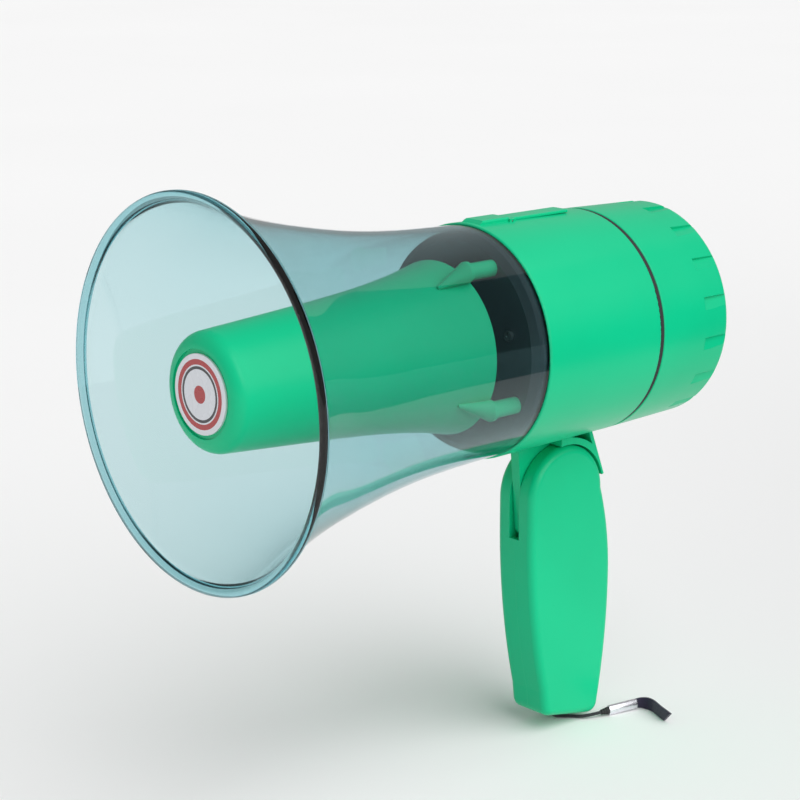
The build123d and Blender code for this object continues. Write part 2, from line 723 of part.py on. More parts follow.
# ================= rear cap =================
panel_back = panel_depth + panel_thick
notch_angle = 360 / notch_count
with BuildPart() as rear_cap:
    with BuildSketch(LATHE):
        corner = (cap_rear - cap_edge_round, cap_rear_radius - cap_edge_round)
        with BuildLine():
            Polyline((cap_front, cap_bore), (cap_front, cap_radius), (corner[0], cap_rear_radius))
            CenterArc(corner, cap_edge_round, 90, -90)
            Polyline((cap_rear, corner[1]), (cap_rear, cap_lip), (panel_back, cap_lip),
                     (panel_back, cap_inner),
                     (neck_rear + 2.0, cap_inner), (neck_rear + 2.0, cap_bore), (cap_front, cap_bore))
        make_face()
    revolve(axis=HORN)
    front_rim = rear_cap.edges().filter_by(GeomType.CIRCLE).sort_by(Axis.Y)[:2].sort_by(SortBy.RADIUS)[-1]
    fillet(front_rim, 0.8)
    for notch in range(notch_count):
        with BuildSketch(across(notch_front, notch_turn + notch * notch_angle)):
            with BuildLine():
                Polyline((cap_rear_radius - notch_deep, 0.0), (cap_radius + 1.5, -0.6),
                         (cap_radius + 1.5, notch_wide), (cap_rear_radius - 0.1, notch_wide), close=True)
            make_face()
        extrude(amount=cap_rear - notch_front, mode=Mode.SUBTRACT)
    # bayonet grooves that the neck's lugs turn in, with their entries
    for lug in range(lug_count):
        lug_at = lug * 360 / lug_count
        half = lug_angle / 2 + lug_play
        with BuildSketch(across(lug_depth - moving_gap)):
            groove_radius = neck_radius + lug_high + moving_gap
            add(sector(cap_bore - 1.0, groove_radius, lug_at - twist - half, twist + 2 * half))
        extrude(amount=lug_long + 2 * moving_gap, mode=Mode.SUBTRACT)
        with BuildSketch(across(cap_front)):
            add(sector(cap_bore - 1.0, neck_radius + lug_high + moving_gap, lug_at - twist - half, 2 * half))
        extrude(amount=lug_depth + lug_long - cap_front, mode=Mode.SUBTRACT)
    with BuildSketch(across(panel_back)):
        with PolarLocations(panel_screw_circle, 3, start_angle=30):
            Circle(screw_radius + screw_gap)
    extrude(amount=7.0, mode=Mode.SUBTRACT)
keep(rear_cap, "rear_cap")

flange_hole = slide_travel + slider_wide + 2 * moving_gap
with BuildPart() as rear_panel:
    with BuildSketch(across(panel_depth)):
        Circle(panel_radius)
    extrude(amount=panel_thick)
    with BuildSketch(across(board_depth + board_thick)):
        with PolarLocations(board_post_circle, 3, start_angle=90):
            Circle(3.6)
    extrude(amount=panel_depth - board_depth - board_thick)
    # raised collars round the controls, and a ring round the microphone
    with BuildSketch(across(panel_back)):
        with Locations(on_panel(talk_at), on_panel(siren_at)):
            Circle(button_radius + 3.0)
        with Locations(on_panel(mic_at)):
            Circle(mic_radius + 3.0)
        with Locations(on_panel(mic_at)):
            Circle(mic_radius + seat_gap, mode=Mode.SUBTRACT)
    extrude(amount=1.2)
    with BuildSketch(across(panel_depth)):
        with Locations(on_panel(talk_at), on_panel(siren_at)):
            Circle(button_radius + moving_gap)
        with Locations(on_panel(volume_at)):
            Circle(shaft_radius + moving_gap)
        with Locations(on_panel(mode_at)):
            Rectangle(flange_hole, slider_tall + 2 * moving_gap)
        with Locations(on_panel(led_at)):
            Circle(led_radius + seat_gap)
        with Locations(on_panel(mic_at)):
            Circle(capsule_radius + seat_gap)
        with PolarLocations(panel_screw_circle, 3, start_angle=30):
            Circle(screw_radius + seat_gap)
    extrude(amount=panel_thick + 1.2, mode=Mode.SUBTRACT)
    with BuildSketch(across(board_depth + board_thick)):
        with PolarLocations(board_post_circle, 3, start_angle=90):
            Circle(screw_radius + screw_gap)
    extrude(amount=8.0, mode=Mode.SUBTRACT)
keep(rear_panel, "rear_panel")

keep(screw_set(panel_depth, panel_back + 6.0, panel_screw_circle, 3, 30, False), "panel_screws")

with BuildPart() as mic_grille:
    with BuildSketch(across(panel_back)):
        with Locations(on_panel(mic_at)):
            Circle(mic_radius)
    extrude(amount=2.4)
    fillet(mic_grille.edges().filter_by(GeomType.CIRCLE).sort_by(Axis.Y)[-1], 0.9)
    with BuildSketch(across(panel_back)):
        with Locations(on_panel(mic_at)):
            Circle(0.9)
            for row in range(1, 4):
                with PolarLocations(row * 3.6, 6 * row):
                    Circle(0.9)
    extrude(amount=2.4, mode=Mode.SUBTRACT)
keep(mic_grille, "mic_grille")

with BuildPart() as mic_capsule:
    with BuildSketch(across(panel_back - 6.5)):
        with Locations(on_panel(mic_at)):
            Circle(capsule_radius)
    extrude(amount=6.4)
keep(mic_capsule, "mic_capsule")

knob_front = panel_back + 0.5
pot_front = board_depth + board_thick
pot_back = panel_depth - seat_gap
with BuildPart() as volume_knob:
    with BuildSketch(across(knob_front)):
        with Locations(on_panel(volume_at)):
            Circle(knob_radius)
            with PolarLocations(knob_radius + 0.5, 18):
                Circle(1.0, mode=Mode.SUBTRACT)
    extrude(amount=knob_high)
    chamfer(volume_knob.faces().sort_by(Axis.Y)[-1].outer_wire().edges(), 0.35)
    with BuildSketch(across(knob_front + knob_high - 0.6)):
        with Locations(on_panel((volume_at[0], volume_at[1] + 0.62 * knob_radius))):
            Rectangle(1.4, 0.5 * knob_radius)
    extrude(amount=0.6, mode=Mode.SUBTRACT)
    with BuildSketch(across(pot_front + 3.0)):
        with Locations(on_panel(volume_at)):
            Circle(shaft_radius)
    extrude(amount=knob_front - pot_front - 3.0)
keep(volume_knob, "volume_knob")

with BuildPart() as volume_pot:
    with BuildSketch(across(pot_front)):
        with Locations(on_panel(volume_at)):
            RectangleRounded(17.0, 17.0, 1.5)
    extrude(amount=pot_back - pot_front)
    with BuildSketch(across(pot_front + 2.5)):
        with Locations(on_panel(volume_at)):
            Circle(shaft_radius + running_gap)
    extrude(amount=pot_back - pot_front - 2.5, mode=Mode.SUBTRACT)
keep(volume_pot, "volume_pot")

flange_at = panel_depth - moving_gap - flange_thick


def push_button(place, label):
    """A round button held by a flange behind the panel."""
    with BuildPart() as button:
        with BuildSketch(across(flange_at)):
            with Locations(on_panel(place)):
                Circle(button_flange)
        extrude(amount=flange_thick)
        with BuildSketch(across(flange_at + flange_thick)):
            with Locations(on_panel(place)):
                Circle(button_radius)
        extrude(amount=panel_thick + moving_gap + button_high)
        fillet(button.edges().filter_by(GeomType.CIRCLE).sort_by(Axis.Y)[-1], 1.2)
    keep(button, label)


push_button(talk_at, "talk_button")
push_button(siren_at, "siren_button")

with BuildPart() as button_switches:
    with BuildSketch(across(pot_front)):
        with Locations(on_panel(talk_at), on_panel(siren_at)):
            RectangleRounded(12.0, 12.0, 1.0)
    extrude(amount=flange_at - button_travel - moving_gap - pot_front)
keep(button_switches, "button_switches")

slider_start = on_panel((mode_at[0] - slide_travel / 2, mode_at[1]))
slider_top = flange_at + flange_thick + moving_gap + panel_thick + slider_high
with BuildPart() as mode_slider:
    with BuildSketch(across(flange_at)):
        with Locations(slider_start):
            Rectangle(slider_wide + 3.0, slider_tall + 3.0)
    extrude(amount=flange_thick)
    with BuildSketch(across(flange_at + flange_thick)):
        with Locations(slider_start):
            RectangleRounded(slider_wide, slider_tall, 0.8)
    extrude(amount=slider_top - flange_at - flange_thick)
    with BuildSketch(across(slider_top)):
        with Locations(slider_start):
            with GridLocations(1.4, 1.0, 3, 1):
                Rectangle(0.6, slider_tall)
    extrude(amount=-0.6, mode=Mode.SUBTRACT)
keep(mode_slider, "mode_slider")

with BuildPart() as mode_switch_body:
    with BuildSketch(across(pot_front)):
        with Locations(on_panel(mode_at)):
            RectangleRounded(20.0, 7.6, 1.0)
    extrude(amount=flange_at - moving_gap - pot_front)
keep(mode_switch_body, "mode_switch_body")

with BuildPart() as led_lens:
    with BuildSketch(across(panel_depth + 0.4)):
        with Locations(on_panel(led_at)):
            Circle(led_radius)
    extrude(amount=panel_thick + 0.8)
    fillet(led_lens.edges().filter_by(GeomType.CIRCLE).sort_by(Axis.Y)[-1], 1.0)
keep(led_lens, "led_lens")

# ================= electronics =================
with BuildPart() as amplifier_board:
    with BuildSketch(across(board_depth)):
        Circle(board_radius)
        with PolarLocations(board_post_circle, 3, start_angle=90):
            Circle(screw_radius + seat_gap, mode=Mode.SUBTRACT)
    extrude(amount=board_thick)
keep(amplifier_board, "amplifier_board")

board_screws = screw_set(board_depth, board_depth + board_thick + 7.0, board_post_circle, 3, 90, False)
keep(board_screws, "board_screws")

with BuildPart() as heat_sink:
    with BuildSketch(across(board_depth)):
        with Locations((0, 20)):
            Rectangle(34.0, 14.0)
    extrude(amount=-2.0)
    with BuildSketch(across(board_depth - 2.0)):
        with Locations((0, 20)):
            with GridLocations(4.0, 1.0, 8, 1):
                Rectangle(1.2, 14.0)
    extrude(amount=-6.0)
keep(heat_sink, "heat_sink")

with BuildPart() as capacitors:
    with BuildSketch(across(board_depth)):
        with Locations((-24, -14), (-10, -16), (24, -14)):
            Circle(5.0)
    extrude(amount=-8.5)
keep(capacitors, "capacitors")

with BuildPart() as amplifier_chips:
    with BuildSketch(across(board_depth)):
        with Locations((-4, 2), (12, 2)):
            Rectangle(9.0, 6.0)
    extrude(amount=-1.8)
keep(amplifier_chips, "amplifier_chips")

# ================= handle =================
with BuildSketch(side()) as handle_side:
    with BuildLine():
        round_top = CenterArc((pivot_y, pivot_z), handle_top_radius, 0, 180)
        brow = Line(round_top @ 1, handle_brow)
        front = TangentArc(brow @ 1, handle_chin, tangent=(0, -1))
        TangentArc(handle_palm, round_top @ 0, tangent=(0, 1))
        lower_back = TangentArc(handle_palm, handle_butt, tangent=(0, -1))
        Polyline(front @ 1, handle_toe, handle_heel, lower_back @ 1)
    make_face()
    fillet(handle_side.vertices().sort_by(Axis.Y)[0], heel_round)
    fillet(handle_side.vertices().sort_by_distance(handle_toe)[0], toe_round)

with BuildSketch(side()) as grip_hollow:
    add(handle_side.sketch_local)
    offset(amount=-handle_wall, mode=Mode.REPLACE)
    with Locations((0, -200 + slot_floor - 8.0)):
        Rectangle(200, 400, mode=Mode.INTERSECT)

fin_reach = 33.8                # radius that the fin's lowest corner sweeps about the pivot
with BuildSketch(side()) as fin_path:
    add(handle_side.sketch_local)
    offset(amount=-handle_wall, mode=Mode.REPLACE)
    with Locations((pivot_y, pivot_z)):
        Circle(fin_reach, mode=Mode.INTERSECT)
    with BuildLine():
        Polyline((pivot_y, pivot_z), (pivot_y + 16.0, pivot_z + 40.0), (pivot_y - 60.0, pivot_z + 40.0),
                 (pivot_y - 60.0, slot_floor), (pivot_y - 20.0, slot_floor), close=True)
    make_face()

slot_half = fin_half + washer_thick + 0.1
for hand, label in ((1, "handle_left"), (-1, "handle_right")):
    with BuildPart() as half:
        with BuildSketch(side()):
            add(handle_side.sketch_local)
        extrude(amount=hand * handle_half)
        outside = half.faces().sort_by(Axis.X)[-1 if hand > 0 else 0]
        fillet(outside.edges(), handle_edge_round)
        with BuildSketch(side()):
            add(grip_hollow.sketch_local)
        extrude(amount=hand * (handle_half - handle_wall), mode=Mode.SUBTRACT)
        with BuildSketch(side()):
            add(fin_path.sketch_local)
        extrude(amount=hand * slot_half, mode=Mode.SUBTRACT)
        with BuildSketch(side()):
            with Locations(*handle_bosses):
                Circle(boss_radius)
        extrude(amount=hand * (handle_half - handle_wall))
        with BuildSketch(side()):
            with Locations((pivot_y, pivot_z)):
                Circle(pin_radius + 0.02)
        extrude(amount=hand * (pin_half + 0.1), mode=Mode.SUBTRACT)
        with BuildSketch(Plane.XY.offset(handle_toe[1] + 12.0)):
            with Locations((0, cord_route[0][1])):
                Circle(eyelet_radius)
        extrude(amount=-30.0, mode=Mode.SUBTRACT)
        if hand > 0:
            with BuildSketch(side()):
                with Locations(*handle_bosses):
                    Circle(screw_radius + screw_gap)
            extrude(amount=9.0, mode=Mode.SUBTRACT)
        else:
            with BuildSketch(side()):
                with Locations(*handle_bosses):
                    Circle(screw_radius + seat_gap)
            extrude(amount=-handle_half, mode=Mode.SUBTRACT)
            with BuildSketch(side(-handle_half + screw_head_high + 1.5)):
                with Locations(*handle_bosses):
                    Circle(screw_head + 0.3)
            extrude(amount=-handle_half, mode=Mode.SUBTRACT)
    keep(half, label)

with BuildPart() as handle_screws:
    head_at = -handle_half + screw_head_high + 1.5
    with BuildSketch(side(head_at)):
        with Locations(*handle_bosses):
            Circle(screw_radius)
    extrude(amount=8.0 - head_at)
    with BuildSketch(side(head_at - screw_head_high)):
        with Locations(*handle_bosses):
            Circle(screw_head)
    extrude(amount=screw_head_high)
    with BuildSketch(side(head_at - screw_head_high)):
        with Locations(*handle_bosses):
            Rectangle(3.4, 0.7)
            Rectangle(0.7, 3.4)
    extrude(amount=0.9, mode=Mode.SUBTRACT)
keep(handle_screws, "handle_screws")

with BuildPart() as pivot_pin:
    with BuildSketch(side(-pin_half)):
        with Locations((pivot_y, pivot_z)):
            Circle(pin_radius)
    extrude(amount=2 * pin_half)
keep(pivot_pin, "pivot_pin")

with BuildPart() as friction_washers:
    for front_face in (fin_half + running_gap, -fin_half - running_gap - washer_thick):
        with BuildSketch(side(front_face)):
            with Locations((pivot_y, pivot_z)):
                Circle(washer_radius)
                Circle(pin_radius + running_gap, mode=Mode.SUBTRACT)
        extrude(amount=washer_thick)
keep(friction_washers, "friction_washers")

# ================= strap =================
exit_x, exit_y, exit_z = cord_route[0]
with BuildPart() as strap_eyelet:
    with BuildSketch(Plane.XY.offset(exit_z)):
        with Locations((0, exit_y)):
            Circle(eyelet_radius - 0.05)
            Circle(cord_radius + 0.1, mode=Mode.SUBTRACT)
    extrude(amount=handle_wall + 1.6)
    with BuildSketch(Plane.XY.offset(exit_z + handle_wall + 1.6)):
        with Locations((0, exit_y)):
            Circle(eyelet_radius + 1.3)
            Circle(cord_radius + 0.1, mode=Mode.SUBTRACT)
    extrude(amount=1.0)
keep(strap_eyelet, "strap_eyelet")

with BuildPart() as strap_knot:
    with BuildSketch(Plane.XY.offset(exit_z)):
        with Locations((0, exit_y)):
            Circle(cord_radius)
    extrude(amount=handle_wall + 4.0)
    with Locations((0, exit_y, exit_z + handle_wall + 5.2)):
        Sphere(2.6)
keep(strap_knot, "strap_knot")


def rounding(route):
    """The radius at each corner of a route: 0.45 of its shorter run over the tangent of half the turn."""
    points = [Vector(*point) for point in route]
    radii = []
    for before, corner, after in zip(points, points[1:], points[2:]):
        turn = (corner - before).get_angle(after - corner)
        shorter = min((corner - before).length, (after - corner).length)
        radii.append(0.45 * shorter / tan(radians(turn) / 2))
    return radii


cord_radii = rounding(cord_route)
print("strap cord radii:", [round(radius, 1) for radius in cord_radii])
with BuildPart() as strap_cord:
    with BuildLine() as cord_line:
        FilletPolyline(*cord_route, radius=cord_radii)
    with BuildSketch(Plane(origin=cord_line.wires()[0] @ 0, z_dir=cord_line.wires()[0] % 0)):
        Circle(cord_radius)
    sweep()
cord_path = cord_line.wires()[0]
section = pi * cord_radius ** 2
share = strap_cord.part.volume / section / cord_path.length
print("strap cord length", round(cord_path.length, 2), "volume over section times length", round(share, 4))
keep(strap_cord, "strap_cord")

cord_end = cord_path @ 1
run_way = (cord_path % 1).normalized()
strap_plane = Plane(origin=cord_end, x_dir=Vector(0, 0, 1).cross(run_way), z_dir=run_way)

with BuildPart() as cord_collar:
    with BuildSketch(strap_plane) as thin:
        Circle(cord_radius + 0.5)
    with BuildSketch(strap_plane.offset(collar_length)) as wide:
        Circle(collar_radius)
    loft(sections=[thin.sketch, wide.sketch])
keep(cord_collar, "cord_collar")

with BuildPart() as strap_ferrule:
    with BuildSketch(strap_plane.offset(collar_length)):
        RectangleRounded(ferrule_thick, ferrule_wide, 1.6)
    extrude(amount=ferrule_length)
keep(strap_ferrule, "strap_ferrule")

with BuildPart() as strap_webbing:
    ferrule_end = strap_plane.offset(collar_length + ferrule_length).origin
    level = Vector(run_way.X, run_way.Y, 0).normalized()
    start = ferrule_end + 0.6 * level
    with BuildSketch(Plane.XY.offset(table_z + 0.1)):
        with BuildLine():
            place = Vector(start.X, start.Y)
            way = level
            for right, back in webbing_turn:
                bend = TangentArc(place, (start.X + right, start.Y + back), tangent=way)
                place = bend @ 1
                way = bend % 1
        trace(line_width=webbing_thick)
    extrude(amount=webbing_wide)
keep(strap_webbing, "strap_webbing")
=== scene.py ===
from math import cos, pi, radians, sin

import bmesh
import bpy
import numpy as np
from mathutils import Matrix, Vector


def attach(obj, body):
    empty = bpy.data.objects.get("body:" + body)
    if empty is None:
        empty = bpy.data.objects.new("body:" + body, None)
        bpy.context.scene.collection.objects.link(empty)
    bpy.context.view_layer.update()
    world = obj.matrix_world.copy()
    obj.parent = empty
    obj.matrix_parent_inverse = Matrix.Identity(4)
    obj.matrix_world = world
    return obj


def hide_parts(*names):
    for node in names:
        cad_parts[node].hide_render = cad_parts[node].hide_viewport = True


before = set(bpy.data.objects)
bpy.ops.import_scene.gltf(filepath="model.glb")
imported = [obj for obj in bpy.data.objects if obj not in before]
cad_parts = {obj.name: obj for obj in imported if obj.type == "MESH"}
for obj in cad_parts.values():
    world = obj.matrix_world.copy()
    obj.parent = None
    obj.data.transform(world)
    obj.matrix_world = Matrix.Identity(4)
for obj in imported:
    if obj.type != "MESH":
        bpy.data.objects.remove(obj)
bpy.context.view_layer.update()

# Lengths are in metres. A depth is measured rearward from the mouth's plane.
MM = 0.001
AXIS_UP = 155 * MM                 # height of the horn's axis over the origin
MOUTH_AHEAD = 262 * MM             # distance of the mouth's plane ahead of the origin
TABLE = -87 * MM


def placed(name, data):
    """A new object in the scene."""
    made = bpy.data.objects.new(name, data)
    bpy.context.scene.collection.objects.link(made)
    return made


# ================= camera =================
CAMERA_PLACE = (0.8716, -0.9048, 0.4211)
CAMERA_LOOK = (-0.7223, 0.6482, -0.2412)
SENSOR_WIDTH = 36                  # in mm, as is the lens
LENS = 100.7


def add_camera():
    camera = placed("camera", bpy.data.cameras.new("camera"))
    camera.location = CAMERA_PLACE
    camera.rotation_euler = Vector(CAMERA_LOOK).to_track_quat("-Z", "Y").to_euler()
    camera.data.sensor_width = SENSOR_WIDTH
    camera.data.lens = LENS
    bpy.context.scene.camera = camera


add_camera()


# ================= mesh helpers =================
WELD = 1e-7                        # vertices closer than this become one
CURVE_STEPS = 90
ARC_STEPS = 10
BELL_TURNS = 288


def smooth_curve(points, steps):
    """A natural cubic through the points, at even steps of its chord length."""
    points = np.array(points, float)
    chord = np.linalg.norm(np.diff(points, axis=0), axis=1)
    knots = np.concatenate([[0], np.cumsum(chord)])
    count = len(points)
    matrix = np.eye(count)
    target = np.zeros_like(points)
    for i in range(1, count - 1):
        matrix[i, i - 1:i + 2] = (chord[i - 1], 2 * (chord[i - 1] + chord[i]), chord[i])
        slopes = (points[i + 1] - points[i]) / chord[i] - (points[i] - points[i - 1]) / chord[i - 1]
        target[i] = 6 * slopes
    bend = np.linalg.solve(matrix, target)
    curve = []
    for place in np.linspace(0, knots[-1], steps + 1):
        i = min(int(np.searchsorted(knots, place, side="right")) - 1, count - 2)
        ahead = (knots[i + 1] - place) / chord[i]
        done = 1 - ahead
        curved = (ahead ** 3 - ahead) * bend[i] + (done ** 3 - done) * bend[i + 1]
        curve.append(ahead * points[i] + done * points[i + 1] + curved * chord[i] ** 2 / 6)
    return [tuple(float(x) for x in point) for point in curve]


def corner(centre, radius, start):
    """Points round a quarter turn from an angle in degrees."""
    angles = [radians(start + 90 * i / ARC_STEPS) for i in range(ARC_STEPS + 1)]
    return [(centre[0] + radius * cos(a), centre[1] + radius * sin(a)) for a in angles]


def finished(name, mesh, finish, body, sharp=35):
    """Clean the mesh, smooth it apart from its sharp edges, and place it on its body."""
    mesh_edit = bmesh.new()
    mesh_edit.from_mesh(mesh)
    bmesh.ops.remove_doubles(mesh_edit, verts=mesh_edit.verts, dist=WELD)
    bmesh.ops.recalc_face_normals(mesh_edit, faces=mesh_edit.faces)
    mesh_edit.to_mesh(mesh)
    mesh_edit.free()
    mesh.shade_smooth()
    mesh.set_sharp_from_angle(angle=radians(sharp))
    piece = placed(name, mesh)
    piece.data.materials.append(finishes[finish])
    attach(piece, body)
    return piece


def lathe(name, outline, finish, body, turns):
    """A closed skin turned about the horn's axis from (depth, radius) points."""
    vertices = []
    for depth, radius in outline:
        for i in range(turns):
            angle = 2 * pi * i / turns
            vertices.append((radius * cos(angle), depth - MOUTH_AHEAD, AXIS_UP + radius * sin(angle)))
    faces = []
    for j in range(len(outline)):
        here = j * turns
        after = (j + 1) % len(outline) * turns
        for i in range(turns):
            beside = (i + 1) % turns
            faces.append((here + i, here + beside, after + beside, after + i))
    mesh = bpy.data.meshes.new(name)
    mesh.from_pydata(vertices, [], faces)
    return finished(name, mesh, finish, body)


def skin(name, loops, finish, body, sharp=35):
    """A closed skin over loops of the same number of points, with both ends filled."""
    count = len(loops[0])
    vertices = [point for loop in loops for point in loop]
    faces = [tuple(range(count)), tuple(range(len(vertices) - count, len(vertices)))]
    for j in range(len(loops) - 1):
        for i in range(count):
            beside = (i + 1) % count
            here = j * count
            after = here + count
            faces.append((here + i, here + beside, after + beside, after + i))
    mesh = bpy.data.meshes.new(name)
    mesh.from_pydata(vertices, [], faces)
    return finished(name, mesh, finish, body, sharp)


# ================= materials =================
FINE_GRAIN = 0.01 * MM
THREAD_RELIEF = 0.12 * MM
SOFT_EDGE = 0.35 * MM
PLASTIC_IOR = 1.49
SMOKE = (0.05, 0.62, 0.68, 1)
SMOKE_DENSITY = 225.0
ENAMEL = (0.74, 0.77, 0.82, 1.0)
RED_INK = (0.42, 0.012, 0.016, 1)
DARK_INK = (0.012, 0.013, 0.02, 1)
RINGS = [(15.2 * MM, 18.0 * MM, RED_INK), (12.9 * MM, 14.4 * MM, DARK_INK), (0.0, 4.6 * MM, RED_INK)]
THREAD_PITCH = 0.75 * MM


class Finish:
    """A Principled material and short ways of adding nodes to it."""

    def __init__(self, name, **sockets):
        self.material = bpy.data.materials.new(name)
        self.material.use_nodes = True
        self.tree = self.material.node_tree
        self.shader = self.tree.nodes["Principled BSDF"]
        for socket, value in sockets.items():
            self.shader.inputs[socket.replace("_", " ")].default_value = value
        self.place = self.node("ShaderNodeTexCoord").outputs["Object"]

    def node(self, kind, links=(), **settings):
        """A node with its settings, and its inputs linked or set from a list of (input, source)."""
        made = self.tree.nodes.new(kind)
        for setting, value in settings.items():
            setattr(made, setting, value)
        for socket, source in links:
            if isinstance(source, bpy.types.NodeSocket):
                self.tree.links.new(source, made.inputs[socket])
            else:
                made.inputs[socket].default_value = source
        return made

    def noise(self, scale, detail=2.0, stretch=(1, 1, 1), distortion=0.0):
        """Noise of that many waves a metre, stretched by its three scales."""
        spread = self.node("ShaderNodeMapping", [("Vector", self.place), ("Scale", stretch)])
        made = self.node("ShaderNodeTexNoise", [("Vector", spread.outputs[0]), ("Scale", scale),
                                                ("Detail", detail), ("Distortion", distortion)])
        return made.outputs["Fac"]

    def ranged(self, source, low, high, to_low, to_high):
        made = self.node("ShaderNodeMapRange", [("Value", source), ("From Min", low), ("From Max", high),
                                                ("To Min", to_low), ("To Max", to_high)])
        return made.outputs[0]

    def maths(self, operation, first, second=0.0):
        return self.node("ShaderNodeMath", [(0, first), (1, second)], operation=operation).outputs[0]

    def mixed(self, share, first, second):
        made = self.node("ShaderNodeMix", [(0, share), (6, first), (7, second)], data_type="RGBA")
        return made.outputs[2]

    def give(self, socket, source):
        self.tree.links.new(source, self.shader.inputs[socket])

    def bump(self, height, depth, base=None):
        """Relief of that depth in metres where the height goes from 0 to 1."""
        links = [("Height", height), ("Strength", 1.0), ("Distance", depth)]
        if base:
            links.append(("Normal", base))
        return self.node("ShaderNodeBump", links).outputs[0]


def shade(colour, share):
    """The colour made lighter or darker, with alpha 1."""
    return tuple(min(1.0, c * share) for c in colour[:3]) + (1.0,)


def moulded(name, colour, roughness, gloss=0.5, grain=FINE_GRAIN, grain_scale=2600, edge_highlight_lift=1.25):
    """Injection-moulded plastic: faint mottling, a fine grain, a painted highlight that lightens the edges,
    and soft corners.
    """
    finish = Finish(name, Roughness=roughness, Specular_IOR_Level=gloss, IOR=PLASTIC_IOR)
    mottle = finish.noise(9, 3.0)
    cloud = finish.noise(55, 4.0, distortion=0.6)
    tone = finish.mixed(finish.ranged(mottle, 0.3, 0.7, 0, 1), shade(colour, 0.95), shade(colour, 1.05))
    softened = finish.node("ShaderNodeBevel", [("Radius", SOFT_EDGE)], samples=4).outputs[0]
    true_normal = finish.node("ShaderNodeNewGeometry").outputs["Normal"]
    turn = finish.node("ShaderNodeVectorMath", [(0, softened), (1, true_normal)], operation="DOT_PRODUCT")
    # Painted highlight: the base colour is lifted along the edges, where the bevelled normal turns away from
    # the true one, and the cloud noise breaks it into patches.
    painted_edge_highlight = finish.ranged(turn.outputs["Value"], 0.995, 0.85, 0, 0.5)
    patchy_edge_highlight = finish.maths("MULTIPLY", painted_edge_highlight, finish.ranged(cloud, 0.35, 0.65, 0.3, 1.0))
    finish.give("Base Color", finish.mixed(patchy_edge_highlight, tone, shade(colour, edge_highlight_lift)))
    streaks = finish.noise(150, 3.0, stretch=(1, 0.12, 1))
    handled = finish.maths("ADD", finish.maths("MULTIPLY", cloud, 0.09),
                           finish.maths("MULTIPLY", streaks, 0.05))
    finish.give("Roughness", finish.maths("ADD", handled, roughness - 0.07))
    finish.give("Normal", finish.bump(finish.noise(grain_scale, 2.0), grain, softened))
    return finish


def metal(name, colour, roughness, brush=(1, 1, 1), brushed=400):
    """Bare metal with fine drawing lines and a few dull patches."""
    finish = Finish(name, Metallic=1.0)
    lines = finish.noise(brushed, 4.0, stretch=brush)
    patches = finish.noise(70, 3.0)
    finish.give("Base Color", finish.mixed(finish.ranged(patches, 0.35, 0.7, 0, 1), shade(colour, 1.0),
                                           shade(colour, 0.8)))
    finish.give("Roughness", finish.maths("ADD", finish.maths("MULTIPLY", lines, 0.16), roughness - 0.05))
    finish.give("Normal", finish.bump(lines, FINE_GRAIN))
    return finish


def clear_plastic():
    """Smoke-blue clear plastic, darker where more of it is looked through."""
    finish = Finish("clear_shell", Base_Color=(1, 1, 1, 1), IOR=PLASTIC_IOR, Transmission_Weight=1.0,
                    Specular_IOR_Level=0.5)
    film = finish.noise(22, 3.0, distortion=0.4)
    finish.give("Roughness", finish.ranged(film, 0.35, 0.7, 0.015, 0.045))
    ripple = finish.noise(16, 1.0, stretch=(1, 0.4, 1))
    finish.give("Normal", finish.bump(ripple, 0.05 * MM))
    tint = finish.node("ShaderNodeVolumeAbsorption", [("Color", SMOKE), ("Density", SMOKE_DENSITY)])
    output = finish.tree.nodes["Material Output"]
    finish.tree.links.new(tint.outputs[0], output.inputs["Volume"])
    return finish


def badge_print():
    """White enamel with plain rings round its centre."""
    finish = Finish("badge", Coat_Weight=0.5, Coat_Roughness=0.08, IOR=1.5)
    apart = finish.node("ShaderNodeSeparateXYZ", [(0, finish.place)])
    across = apart.outputs["X"]
    up = finish.maths("SUBTRACT", apart.outputs["Z"], AXIS_UP)
    squares = finish.maths("ADD", finish.maths("MULTIPLY", across, across),
                           finish.maths("MULTIPLY", up, up))
    radius = finish.maths("SQRT", squares)
    edge = finish.maths("MULTIPLY", finish.maths("SUBTRACT", finish.noise(900, 2.0), 0.5), 0.12 * MM)
    radius = finish.maths("ADD", radius, edge)
    colour = ENAMEL
    for inner, outer, ink in RINGS:
        inside = finish.maths("MULTIPLY", finish.maths("GREATER_THAN", radius, inner),
                              finish.maths("LESS_THAN", radius, outer))
        colour = finish.mixed(inside, colour, ink)
    finish.give("Base Color", colour)
    finish.give("Roughness", finish.ranged(finish.noise(80, 3.0), 0.3, 0.7, 0.24, 0.36))
    finish.give("Normal", finish.bump(finish.noise(500, 2.0), FINE_GRAIN))
    return finish


def woven(name, colour):
    """Flat webbing: warp and weft ribs over places held in the mesh's weave attribute."""
    finish = Finish(name, Roughness=0.8, Sheen_Weight=0.35, Sheen_Roughness=0.4, Specular_IOR_Level=0.25)
    place = finish.node("ShaderNodeAttribute", attribute_name="weave").outputs["Vector"]
    apart = finish.node("ShaderNodeSeparateXYZ", [(0, place)])
    slant = finish.maths("ADD", apart.outputs["X"], finish.maths("MULTIPLY", apart.outputs["Y"], 0.6))
    warp = finish.maths("SINE", finish.maths("MULTIPLY", apart.outputs["Y"], 2 * pi / THREAD_PITCH))
    weft = finish.maths("SINE", finish.maths("MULTIPLY", slant, 2 * pi / (1.3 * THREAD_PITCH)))
    rib = finish.ranged(finish.maths("MULTIPLY", warp, weft), -1, 1, 0, 1)
    fuzz = finish.noise(3200, 3.0)
    height = finish.maths("ADD", rib, finish.maths("MULTIPLY", fuzz, 0.5))
    # Painted shade and painted highlight: the base colour is darker in the weave's low places and lighter on
    # its raised ribs, with the random fuzz mixed in.
    finish.give("Base Color", finish.mixed(finish.ranged(height, 0.2, 1.2, 0, 1), shade(colour, 0.55),
                                           shade(colour, 1.35)))
    finish.give("Normal", finish.bump(height, THREAD_RELIEF))
    return finish


